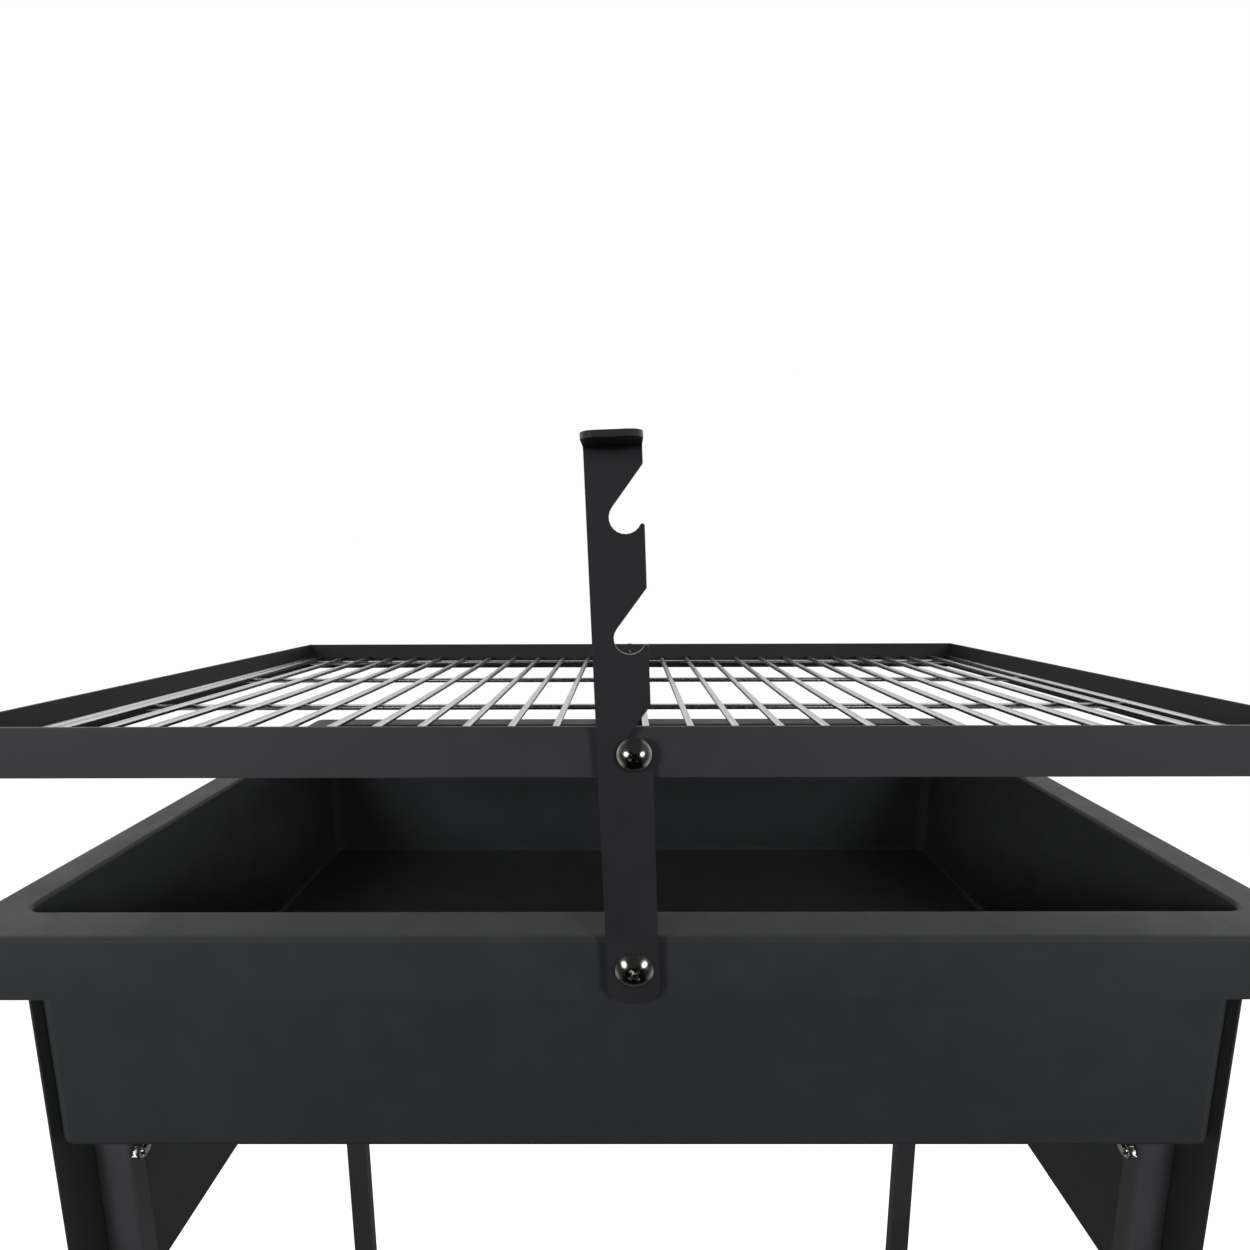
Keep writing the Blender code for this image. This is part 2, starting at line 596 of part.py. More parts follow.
def make_grid(mat, carrier):
    """Long wires front to back, welded onto four cross wires, with a border wire along each side rail."""
    border = SIDE_IN - BORDER_SEAT - WIRE / 2
    reach = border - WIRE - GRID_MARGIN
    beside_nut = (NUT_FLATS + WIRE) / 2 + NUT_CLEARANCE
    first = ceil((-reach - beside_nut) / WIRE_PITCH)
    last = int((reach - beside_nut) / WIRE_PITCH)
    longs = bmesh.new()
    for x in [-border, *(beside_nut + i * WIRE_PITCH for i in range(first, last + 1)), border]:
        wire(longs, "Y", x, LONG_WIRE_Z, HALF_SPAN - GAP)
    place = carrier.matrix_basis @ at(0, GRATE_Y, 0)
    grid = put("cooking_grid", to_mesh("cooking_grid", longs, mat), place, carrier)
    crosses = bmesh.new()
    outermost = HALF_SPAN - CROSS_INSET
    for i in range(CROSS_COUNT):
        wire(crosses, "X", outermost * (2 * i / (CROSS_COUNT - 1) - 1), CROSS_WIRE_Z, SIDE_IN - GAP)
    combine(grid, crosses, "UNION")


def main():
    clear_scene()
    enamel = material("black_enamel_steel", (0.028, 0.029, 0.030), 0.42, 0.0)
    rack_enamel = material("black_enamel_bar", (0.022, 0.023, 0.024), 0.36, 0.0)
    zinc = material("galvanised_wire", (0.62, 0.62, 0.61), 0.34, 1.0)
    nickel = material("nickel_plated_steel", (0.60, 0.59, 0.57), 0.22, 1.0)
    plastic = material("black_cap_plastic", (0.018, 0.018, 0.019), 0.55, 0.0)
    make_fire_pan(enamel)
    make_legs(enamel, plastic)
    make_aprons(enamel)
    make_leg_screws(nickel)
    make_hook(rack_enamel, nickel)
    make_rack(rack_enamel, nickel)
    hook_axis = put("hook_axis", None, at(0, HOOK_Y, HOOK_Z) @ Matrix.Rotation(-TILT, 4, "X"))
    make_hangers(nickel, hook_axis)
    make_grate_frame(enamel, hook_axis)
    make_grid(zinc, hook_axis)

    # All of it stands on one empty, which brings the middle of the whole grill over the origin
    grill = put("grill", None, at(0, 0, 0))
    for obj in bpy.data.objects:
        if obj != grill and not obj.parent:
            obj.parent = grill
    screw_end = HOOK_THICKNESS / 2 + SLIDE + HEAD_HEIGHT
    back = max(PAN_WIDTH / 2, HOOK_Y + screw_end * cos(TILT))
    grill.location.y = (RACK_IN + TAB_LENGTH - back) / 2


main()
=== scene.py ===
"""Looks of a standing charcoal grill: black coated sheet steel, a zinc wire grate and bright cross-head screws.

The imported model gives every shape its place. The pan, aprons, rails, rack and hook are made again from it with the
roundings that catch light, the wires, screws, nuts, washer and bush are drawn new where it has them, and every
surface gets a procedural finish. Metres, +Z up, front at -Y.
"""

import json
from math import atan2, ceil, cos, pi, radians, sin

import bmesh
import bpy
from bpy.props import FloatProperty, FloatVectorProperty, IntProperty, PointerProperty
from mathutils import Matrix, Vector


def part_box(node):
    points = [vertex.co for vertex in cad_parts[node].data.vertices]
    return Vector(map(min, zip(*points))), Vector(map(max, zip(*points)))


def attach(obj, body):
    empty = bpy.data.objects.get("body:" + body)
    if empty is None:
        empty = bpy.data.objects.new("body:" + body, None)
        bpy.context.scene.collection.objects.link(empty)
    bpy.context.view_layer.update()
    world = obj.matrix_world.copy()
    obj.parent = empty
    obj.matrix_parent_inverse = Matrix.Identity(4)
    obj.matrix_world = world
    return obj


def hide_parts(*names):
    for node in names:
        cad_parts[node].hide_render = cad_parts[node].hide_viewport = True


bl_info = {
    "name": "Charcoal grill looks",
    "version": (1, 0, 0),
    "blender": (4, 5, 0),
    "location": "View3D > Sidebar > Grill",
    "description": "Finishes, screws, wires and studio of the standing charcoal grill",
    "category": "Object",
}

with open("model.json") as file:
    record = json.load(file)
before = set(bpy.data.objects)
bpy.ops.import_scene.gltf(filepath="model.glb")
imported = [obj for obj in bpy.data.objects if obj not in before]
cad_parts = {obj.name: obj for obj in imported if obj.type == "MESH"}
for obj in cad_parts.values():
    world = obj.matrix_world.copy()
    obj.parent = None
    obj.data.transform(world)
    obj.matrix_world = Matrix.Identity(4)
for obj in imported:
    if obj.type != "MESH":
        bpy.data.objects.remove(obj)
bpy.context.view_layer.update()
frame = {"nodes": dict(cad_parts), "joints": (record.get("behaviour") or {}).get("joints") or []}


def linear(code):
    """An sRGB hex colour as linear red, green, blue and alpha."""
    values = [int(code[i:i + 2], 16) / 255 for i in (1, 3, 5)]
    return (*(v / 12.92 if v <= 0.04045 else ((v + 0.055) / 1.055) ** 2.4 for v in values), 1.0)


def reach(name, space):
    """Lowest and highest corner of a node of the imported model, measured along the axes of a space."""
    inward = space.inverted()
    points = [inward @ v.co for v in frame["nodes"][name].data.vertices]
    low = Vector(min(p[i] for p in points) for i in range(3))
    high = Vector(max(p[i] for p in points) for i in range(3))
    return low, high


def grate_space():
    """The grate's own axes: it slopes down to the back, about the hook that its rear screw lies in."""
    front, back = (sum(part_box(f"grate_rail_{side}"), Vector()) / 2 for side in ("front", "back"))
    hook = next(joint["pos_m"] for joint in frame["joints"] if joint["name"] == "grate_tilt")
    return Matrix.Translation(hook) @ Matrix.Rotation(atan2(back.z - front.z, back.y - front.y), 4, "X")


LEVEL = Matrix()
SLOPE = grate_space()
OUTWARD = {  # turns local Z to a direction
    "+X": Matrix.Rotation(pi / 2, 4, "Y"), "-X": Matrix.Rotation(-pi / 2, 4, "Y"),
    "+Y": Matrix.Rotation(-pi / 2, 4, "X"), "-Y": Matrix.Rotation(pi / 2, 4, "X"),
}
LEGS = ("front_left", "front_right", "back_left", "back_right")
WELD_GAP = 0.0003    # between the grid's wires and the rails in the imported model
THREAD_PLAY = 0.0001    # between a screw and what is on it


# Finishes

def node(tree, kind, inputs=None, **settings):
    """Adds a node with its settings. An input, by name or number, takes a value, a socket, or another node, which
    stands for its first output in use."""
    made = tree.nodes.new(kind)
    for name, value in settings.items():
        setattr(made, name, value)
    usable = [socket for socket in made.inputs if socket.enabled]
    for key, source in (inputs or {}).items():
        socket = usable[key] if isinstance(key, int) else next(s for s in usable if s.name == key)
        if isinstance(source, bpy.types.Node):
            source = next(out for out in source.outputs if out.enabled)
        if isinstance(source, bpy.types.NodeSocket):
            tree.links.new(source, socket)
        else:
            socket.default_value = source
    return made


def shade(colour, factor):
    """A colour made darker or paler by a factor."""
    return (*(value * factor for value in colour[:3]), 1.0)


def surface(name, base, grains, stains, bumps, gloss, constants):
    """A material whose patterns are noises that lie still in the piece.

    Grains give each noise the size of its features in millimetres, and its detail. A stain lays a colour over the
    one before it: none at the noise's first value, and its full share at the second. A bump has a strength and a
    height in millimetres, gloss has the least and the most roughness, and constants are values of the shader's own
    inputs.
    """
    made = bpy.data.materials.new(name)
    made.use_nodes = True
    tree = made.node_tree
    tree.nodes.clear()
    metres = node(tree, "ShaderNodeTexCoord").outputs["Object"]
    noises = {}
    for grain, (size, detail) in grains.items():
        noises[grain] = node(tree, "ShaderNodeTexNoise", {"Vector": metres, "Scale": 1000 / size, "Detail": detail})
    for grain, none, full, share, colour in stains:
        amount = node(tree, "ShaderNodeMapRange", {
            "Value": noises[grain], "From Min": none, "From Max": full, "To Min": 0.0, "To Max": share})
        base = node(tree, "ShaderNodeMix", {"Factor": amount, "A": base, "B": colour}, data_type="RGBA")
    relief = {}
    for grain, strength, height in bumps:
        relief = {"Normal": node(tree, "ShaderNodeBump", {
            "Height": noises[grain], "Strength": strength, "Distance": height / 1000, **relief})}
    grain, least, most = gloss
    roughness = node(tree, "ShaderNodeMapRange", {
        "Value": noises[grain], "From Min": 0.3, "From Max": 0.7, "To Min": least, "To Max": most})
    shader = node(tree, "ShaderNodeBsdfPrincipled", {
        "Base Color": base, "Roughness": roughness, **relief, **constants})
    node(tree, "ShaderNodeOutputMaterial", {"Surface": shader})
    return made


def powder_coat(name, colour, roughness, specular):
    """Steel sprayed with black powder and baked: a satin skin with a fine orange peel, faint clouds where it lies
    thicker, and pinpricks of paler grit."""
    thin, gritty = shade(colour, 0.88), shade(colour, 1.16)
    return surface(
        name, thin,
        # Millimetres from crest to crest: peel and grit as coarse as such a coat gets, and a cloud as wide as a pass
        # of the spray gun, about a hand
        grains={"peel": (1.4, 2), "grit": (0.4, 1), "cloud": (110, 3), "mottle": (14, 4)},
        stains=[("cloud", 0.35, 0.65, 1.0, colour), ("mottle", 0.42, 0.75, 0.4, gritty),
                ("grit", 0.6, 0.8, 0.5, gritty)],
        bumps=[("peel", 0.3, 0.06), ("grit", 0.4, 0.03)],
        gloss=("mottle", roughness - 0.05, roughness + 0.05),
        constants={"IOR": 1.5, "Specular IOR Level": specular})


def plated_metal(name, colour, roughness, crystal, relief):
    """Steel under a metal plating: bright, with patches of duller crystals of a size in millimetres."""
    dull = shade(colour, 0.82)
    return surface(
        name, dull,
        grains={"crystals": (crystal, 3), "film": (20, 2)},    # handling leaves a film in patches of about 20 mm
        stains=[("crystals", 0.35, 0.65, 1.0, colour), ("film", 0.45, 0.75, 0.3, dull)],
        bumps=[("crystals", 0.3, relief)],
        gloss=("crystals", roughness - 0.05, roughness + 0.08),
        constants={"Metallic": 1.0})


def moulded_plastic(name, colour):
    """Polyethylene moulded in a spark-eroded tool: dull, finely pitted and scuffed paler where it rubs."""
    return surface(
        name, colour,
        grains={"pits": (0.4, 1), "scuff": (6, 4)},    # eroded pits are 0.1 mm across, drawn coarser to show
        stains=[("scuff", 0.5, 0.8, 0.7, shade(colour, 1.7))],
        bumps=[("pits", 0.5, 0.05)],
        gloss=("scuff", 0.5, 0.66),
        constants={})


FINISHES = {
    # Roughness and specular level of a coat
    "pan_powder_coat": (powder_coat, "pan", 0.5, 0.36),
    "rail_powder_coat": (powder_coat, "rails", 0.48, 0.3),
    "rack_powder_coat": (powder_coat, "rack", 0.42, 0.5),
    # The legs' black coat is set paler than the pan's as painted light: the paleness stands in for light that falls on
    # the legs
    "leg_powder_coat": (powder_coat, "legs", 0.5, 0.5),
    # Roughness, and size and height of the crystals in millimetres, which are about 1.5 across on drawn wire
    "zinc_plated_wire": (plated_metal, "wires", 0.3, 1.5, 0.04),
    "nickel_plated_steel": (plated_metal, "screws", 0.13, 3.0, 0.01),
    "cap_polyethylene": (moulded_plastic, "caps"),
}


def finish(name):
    """The material of this name, made when it is first asked for."""
    if name in bpy.data.materials:
        return bpy.data.materials[name]
    make, colour, *values = FINISHES[name]
    return make(name, tuple(getattr(bpy.context.scene.grill_colours, colour)), *values)


# Shapes

def to_mesh(name, bm, smooth_below=radians(40)):
    """A mesh that is shaded smooth over edges flatter than an angle."""
    bmesh.ops.recalc_face_normals(bm, faces=bm.faces)
    mesh = bpy.data.meshes.new(name)
    bm.to_mesh(mesh)
    bm.free()
    mesh.shade_smooth()
    mesh.set_sharp_from_angle(angle=smooth_below)
    return mesh


def add(name, mesh, coat, body, place=LEVEL):
    """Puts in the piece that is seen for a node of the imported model, and rides on its body."""
    mesh.materials.clear()
    mesh.materials.append(finish(coat))
    mesh.transform(place)
    obj = bpy.data.objects.new(f"{name}_looks", mesh)
    bpy.context.scene.collection.objects.link(obj)
    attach(obj, body)
    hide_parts(name)


def refinish(name, coat):
    """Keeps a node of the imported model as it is, with its real finish."""
    materials = frame["nodes"][name].data.materials
    materials.clear()
    materials.append(finish(coat))


def soften(name, width):
    """A node's own shape with its sharp edges rounded over, as cut metal has under a coat."""
    same, flat, sharp = 1e-6, radians(0.5), radians(50)    # points that are one, folds that are none, edges to round
    bm = bmesh.new()
    bm.from_mesh(frame["nodes"][name].data)
    bmesh.ops.remove_doubles(bm, verts=bm.verts, dist=same)
    bmesh.ops.dissolve_limit(bm, angle_limit=flat, verts=bm.verts, edges=bm.edges)
    edges = [e for e in bm.edges if len(e.link_faces) == 2 and e.calc_face_angle() > sharp]
    bmesh.ops.bevel(bm, geom=edges, offset=width, segments=2, profile=0.5, affect="EDGES", clamp_overlap=True)
    mesh = to_mesh(f"{name}_rounded", bm, smooth_below=pi)
    # The large faces decide how their corners are lit, so that flats look flat and only the roundings bend
    normals = [Vector() for _ in mesh.vertices]
    for face in mesh.polygons:
        for corner in face.vertices:
            normals[corner] += face.normal * face.area
    mesh.normals_split_custom_set_from_vertices([normal.normalized() for normal in normals])
    return mesh


def join_rings(bm, rings, closed):
    """Faces between rings of equal count. The last is joined to the first, or both ends are capped."""
    pairs = list(zip(rings, rings[1:]))
    if closed:
        pairs.append((rings[-1], rings[0]))
    else:
        bm.faces.new(rings[0])
        bm.faces.new(rings[-1])
    for low, high in pairs:
        for i in range(len(low)):
            j = (i + 1) % len(low)
            bm.faces.new((low[i], low[j], high[j], high[i]))


def lathe(bm, profile, count, closed=False, place=LEVEL):
    """Turns (radius, height) points about the local Z axis, with a count of sides. A closed profile makes a ring."""
    rings = []
    for radius, height in profile:
        points = [(radius * cos(2 * pi * i / count), radius * sin(2 * pi * i / count), height) for i in range(count)]
        rings.append([bm.verts.new(place @ Vector(p)) for p in points])
    join_rings(bm, rings, closed)


def cut(mesh, cutter):
    """One mesh less another."""
    body, tool = bpy.data.objects.new("cut_body", mesh), bpy.data.objects.new("cut_tool", cutter)
    for obj in (body, tool):
        bpy.context.scene.collection.objects.link(obj)
    boolean = body.modifiers.new("cut", "BOOLEAN")
    boolean.object = tool
    bpy.context.view_layer.update()
    made = bpy.data.meshes.new_from_object(body.evaluated_get(bpy.context.evaluated_depsgraph_get()))
    for obj in (body, tool):
        bpy.data.objects.remove(obj)
    if len(made.polygons) in (0, len(mesh.polygons)):
        raise RuntimeError(f"{mesh.name} could not be cut")
    made.shade_smooth()
    made.set_sharp_from_angle(angle=radians(35))
    return made


def screw_shape(name, head, height, shank, length):
    """A truss-head screw with a cross recess: its head above the local XY plane, its thread below."""
    rim = 0.0003    # upright edge of the head, and the turn under it
    neck = 0.0012    # without thread, under the head
    pitch = 0.0008    # of an M5 thread
    tip, valley, crest = shank * 0.36, shank * 0.44, shank * 0.5
    start = shank * 0.12 - length
    profile = [(tip, -length), (crest, start)]
    for i in range(int(-(start + neck) / pitch)):
        profile += [(valley, start + (i + 0.5) * pitch), (crest, start + (i + 1) * pitch)]
    profile += [(crest, -0.0002), (crest, 0.0), (head / 2 - rim, 0.0), (head / 2, rim)]
    # The dome is part of a ball, in steps that grow finer to the rim, and ends in a small flat
    rise = height - rim
    ball = (head * head / 4 + rise * rise) / (2 * rise)
    steps, flat = 10, head / 60
    for i in range(1, steps + 1):
        radius = max(head / 2 * cos(i / steps * pi / 2), flat)
        profile.append((radius, height - ball + (ball * ball - radius * radius) ** 0.5))
    bm = bmesh.new()
    lathe(bm, profile, count=32)
    solid = to_mesh(name, bm)

    # The recess is a cross that narrows to its bottom. The screw was left turned by some angle
    bottom, above = (height * 0.25, head * 0.09, head * 0.035), (height * 1.3, head * 0.23, head * 0.06)
    turns = [Matrix.Rotation(radians(38 + 90 * i), 4, "Z") for i in range(4)]
    bm = bmesh.new()
    rings = []
    for z, arm, half in (bottom, above):
        corners = ((arm, -half), (arm, half), (half, half))
        rings.append([bm.verts.new(turn @ Vector((*corner, z))) for turn in turns for corner in corners])
    join_rings(bm, rings, False)
    return cut(solid, to_mesh(f"{name}_recess", bm))


def nut_shape(name, flats, height, bore):
    """A hexagon nut from the local XY plane up, its flats across X, its corners turned off at both ends."""
    count = 36
    sink = flats * 0.06    # of the hole's edge
    turned = sink * 1.2    # of the corners
    rings = []
    bm = bmesh.new()
    for kind, z in (("bore", sink), ("sink", 0.0), ("end", 0.0), ("side", turned),
                    ("side", height - turned), ("end", height), ("sink", height), ("bore", height - sink)):
        ring = []
        for i in range(count):
            angle = 2 * pi * i / count
            hexagon = flats / 2 / cos((angle + pi / 6) % (pi / 3) - pi / 6)
            radius = {"bore": bore, "sink": bore + sink, "end": flats / 2 * 0.97, "side": hexagon}[kind]
            ring.append(bm.verts.new((radius * cos(angle), radius * sin(angle), z)))
        rings.append(ring)
    join_rings(bm, rings, True)
    return to_mesh(name, bm, smooth_below=radians(28))


def ring_shape(name, outer, bore, height):
    """A bush or washer from the local XY plane up, with its edges broken."""
    edge = 0.0002
    profile = [(bore, edge), (bore + edge, 0), (outer - edge, 0), (outer, edge), (outer, height - edge),
               (outer - edge, height), (bore + edge, height), (bore, height - edge)]
    bm = bmesh.new()
    lathe(bm, profile, count=36, closed=True)
    return to_mesh(name, bm, smooth_below=radians(28))


def seat(name, direction, space):
    """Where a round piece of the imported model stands: a place whose Z runs out along the direction, from the
    piece's inner end, and its width and length."""
    low, high = reach(name, space)
    axis = "XY".index(direction[1])
    across = 1 - axis
    point = (low + high) / 2
    point[axis] = low[axis] if direction[0] == "+" else high[axis]
    return space @ Matrix.Translation(point) @ OUTWARD[direction], high[across] - low[across], high[axis] - low[axis]


def add_fitting(name, direction, body, space=LEVEL):
    """Draws a screw, nut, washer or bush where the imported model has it, and in its size there."""
    sizes = bpy.context.scene.grill_sizes
    place, width, length = seat(name, direction, space)
    bore = sizes.shank / 2 + THREAD_PLAY
    if "screw" in name:
        head = sizes.big_head if name.startswith(("pivot", "hanger")) else sizes.small_head
        mesh = screw_shape(f"{name}_looks", width, head, sizes.shank, length - head)
        place = place @ Matrix.Translation((0, 0, length - head))
    elif "nut" in name:
        mesh = nut_shape(f"{name}_looks", sizes.nut_flats, length, bore)
    else:
        mesh = ring_shape(f"{name}_looks", width / 2, bore, length)
    add(name, mesh, "nickel_plated_steel", body, place)


# What a user would change

class GrillSizes(bpy.types.PropertyGroup):
    edge: FloatProperty(
        name="Bar edge", description="Rounding of the edges of rails, rack and hook", default=0.0004,
        min=0.0001, max=0.0008, precision=5, unit="LENGTH")
    sheet_edge: FloatProperty(
        name="Sheet edge", description="Rounding of the cut edges of the sheet", default=0.0003,
        min=0.0001, max=0.0005, precision=5, unit="LENGTH")
    wire: FloatProperty(
        name="Wire", description="Diameter of the grate's wires", default=0.0034,
        min=0.002, max=0.005, precision=5, unit="LENGTH")
    pitch: FloatProperty(
        name="Wire pitch", description="From one long wire to the next", default=0.0217,
        min=0.01, max=0.04, precision=5, unit="LENGTH")
    cross_wires: IntProperty(
        name="Cross wires", description="Wires along the grill that the long wires are welded to", default=4,
        min=2, max=8)
    big_head: FloatProperty(
        name="Rack screw head", description="Height of the heads of the rack's and grate's screws",
        default=0.0032, min=0.002, max=0.005, precision=5, unit="LENGTH")
    small_head: FloatProperty(
        name="Stand screw head", description="Height of the heads of the leg and hook screws",
        default=0.0026, min=0.002, max=0.004, precision=5, unit="LENGTH")
    shank: FloatProperty(
        name="Shank", description="Diameter of all screws", default=0.005,
        min=0.003, max=0.0055, precision=5, unit="LENGTH")
    nut_flats: FloatProperty(
        name="Nut", description="Nuts, across their flats", default=0.008,
        min=0.007, max=0.009, precision=5, unit="LENGTH")


class GrillColours(bpy.types.PropertyGroup):
    pan: FloatVectorProperty(
        name="Pan", description="Powder coat of pan and aprons", subtype="COLOR", size=4,
        min=0, max=1, default=linear("#212223"))
    rails: FloatVectorProperty(
        name="Grate rails", description="Powder coat of the grate's frame", subtype="COLOR", size=4,
        min=0, max=1, default=linear("#232325"))
    rack: FloatVectorProperty(
        name="Rack and hook", description="Powder coat of the notched rack and the rear hook", subtype="COLOR",
        size=4, min=0, max=1, default=linear("#1b1b1d"))
    wires: FloatVectorProperty(
        name="Wires", description="Zinc of the grate's wires", subtype="COLOR", size=4,
        min=0, max=1, default=linear("#d2d3d2"))
    screws: FloatVectorProperty(
        name="Screws", description="Nickel of screws, nuts, washer and bush", subtype="COLOR", size=4,
        min=0, max=1, default=linear("#d8d6d0"))
    # The legs have a black coat like the pan; this colour is paler as painted light, standing in for light that falls
    # on them
    legs: FloatVectorProperty(
        name="Legs", description="Powder coat of the legs", subtype="COLOR", size=4,
        min=0, max=1, default=linear("#303032"))
    caps: FloatVectorProperty(
        name="Foot caps", description="Plastic of the caps under the legs", subtype="COLOR", size=4,
        min=0, max=1, default=linear("#1c1c1d"))


class GrillStudio(bpy.types.PropertyGroup):
    eye: FloatVectorProperty(
        name="Camera", description="Where the camera stands", subtype="TRANSLATION", unit="LENGTH",
        default=(-0.0029, -0.3742, 0.8851))
    pitch: FloatProperty(
        name="Camera pitch", description="How far the camera looks down", default=0.1365, subtype="ANGLE")
    yaw: FloatProperty(
        name="Camera yaw", description="How far the camera turns to the left", default=0.0027, subtype="ANGLE")
    roll: FloatProperty(
        name="Camera roll", description="How far the camera leans to the right", default=0.0028, subtype="ANGLE")
    lens: FloatProperty(
        name="Lens", description="Focal length for a 36 mm wide sensor", default=16.72, unit="CAMERA")
    floor: FloatVectorProperty(
        name="Floor", description="Colour of the studio floor", subtype="COLOR", size=4, min=0, max=1,
        default=linear("#505050"))
    left: FloatProperty(
        name="Left softbox", description="Power of the softbox left of the camera", default=8.4, unit="POWER")
    right: FloatProperty(
        name="Right softbox", description="Power of the softbox right of the camera", default=7.4, unit="POWER")
    rear: FloatProperty(
        name="Rear softbox", description="Power of the softbox behind the grill", default=14.0, unit="POWER")
    surroundings: FloatProperty(
        name="Surroundings", description="Even light from the white room", default=0.22, min=0.0, max=1.0,
        subtype="FACTOR")
    glints: FloatProperty(
        name="Glints", description="Brightness of the two small lamps that the screws mirror", default=2.4)


# Operators, one for each group of pieces

class GRILL_OT_fire_pan(bpy.types.Operator):
    """Makes the fire pan, one folded and coated sheet from its floor over the rim to the lip"""
    bl_idname = "grill.fire_pan"
    bl_label = "Fire pan"

    def execute(self, context):
        edge = context.scene.grill_sizes.sheet_edge
        add("fire_pan", soften("fire_pan", edge), "pan_powder_coat", "stand")
        return {"FINISHED"}


class GRILL_OT_stand(bpy.types.Operator):
    """Finishes the legs and their caps, and makes the end aprons with rounded edges"""
    bl_idname = "grill.stand"
    bl_label = "Legs and aprons"

    def execute(self, context):
        edge = context.scene.grill_sizes.sheet_edge
        for leg in LEGS:
            # The legs' coat colour is partly painted light: their black coat, set paler for the light that falls on
            # them
            refinish(f"leg_{leg}", "leg_powder_coat")
            refinish(f"foot_cap_{leg}", "cap_polyethylene")
        for name in ("end_apron_left", "end_apron_right"):
            add(name, soften(name, edge), "pan_powder_coat", "stand")
        return {"FINISHED"}


class GRILL_OT_rack(bpy.types.Operator):
    """Makes the notched rack in front and the hook at the back, with rounded edges"""
    bl_idname = "grill.rack"
    bl_label = "Rack and hook"

    def execute(self, context):
        edge = context.scene.grill_sizes.edge
        for name, body in (("rack_front", "front_rack"), ("rear_hook", "stand")):
            add(name, soften(name, edge), "rack_powder_coat", body)
        return {"FINISHED"}


class GRILL_OT_grate_frame(bpy.types.Operator):
    """Makes the grate's four rails, flat bar with rounded edges"""
    bl_idname = "grill.grate_frame"
    bl_label = "Grate rails"

    def execute(self, context):
        edge = context.scene.grill_sizes.edge
        for side in ("front", "back", "left", "right"):
            name = f"grate_rail_{side}"
            add(name, soften(name, edge), "rail_powder_coat", "grate")
        return {"FINISHED"}


class GRILL_OT_wires(bpy.types.Operator):
    """Makes the round wires of the grate: long ones from front to back, on cross wires they are welded to"""
    bl_idname = "grill.wires"
    bl_label = "Wires"

    def execute(self, context):
        sizes = context.scene.grill_sizes
        radius = sizes.wire / 2
        low, high = reach("cooking_grid", SLOPE)
        middle = (low.y + high.y) / 2
        half_long, half_cross = (high.y - low.y) / 2, (high.x - low.x) / 2
        top, under = high.z - radius, low.z + radius

        # Long wires pass beside the nuts in the rails, and one runs along each end rail
        beside_nut = sizes.nut_flats / 2 + radius + 0.0006
        border = half_cross + WELD_GAP - 0.0012 - radius
        room = border - sizes.wire - 0.0028
        first, last = ceil((-room - beside_nut) / sizes.pitch), int((room - beside_nut) / sizes.pitch)
        across = [-border, *(beside_nut + i * sizes.pitch for i in range(first, last + 1)), border]
        outermost = half_long + WELD_GAP - 0.0115    # of the cross wires
        along = [middle + outermost * (2 * i / (sizes.cross_wires - 1) - 1) for i in range(sizes.cross_wires)]

        end, turned = radius * 0.75, radius * 0.3    # radius of a cropped end, and how far the cropping reaches
        bm = bmesh.new()
        for direction, half, points in (
            ("+Y", half_long, [(x, middle, top) for x in across]),
            ("+X", half_cross, [(0, y, under) for y in along]),
        ):
            profile = [(end, -half), (radius, turned - half), (radius, half - turned), (end, half)]
            for point in points:
                lathe(bm, profile, count=16, place=SLOPE @ Matrix.Translation(point) @ OUTWARD[direction])
        add("cooking_grid", to_mesh("cooking_grid_looks", bm), "zinc_plated_wire", "grate")
        return {"FINISHED"}


class GRILL_OT_screws(bpy.types.Operator):
    """Makes the cross-head screws with their nuts, washer and bush"""
    bl_idname = "grill.screws"
    bl_label = "Screws and nuts"

    def execute(self, context):
        add_fitting("pivot_screw_front", "-Y", "stand")
        add_fitting("pivot_nut_front", "+Y", "stand")
        add_fitting("pivot_washer_front", "-Y", "stand")
        add_fitting("hanger_screw_front", "-Y", "grate", SLOPE)
        add_fitting("hanger_bush_front", "-Y", "grate", SLOPE)
        add_fitting("hanger_nut_front", "+Y", "grate", SLOPE)
        add_fitting("hanger_screw_back", "+Y", "grate", SLOPE)
        add_fitting("hanger_nut_back", "-Y", "grate", SLOPE)
        for level in ("upper", "lower"):
            add_fitting(f"hook_screw_{level}", "-Y", "stand")
            add_fitting(f"hook_nut_{level}", "+Y", "stand")
            for leg in LEGS:
                out, back = ("-X", "+X") if "left" in leg else ("+X", "-X")
                add_fitting(f"leg_screw_{leg}_{level}", out, "stand")
                add_fitting(f"leg_nut_{leg}_{level}", back, "stand")
        return {"FINISHED"}


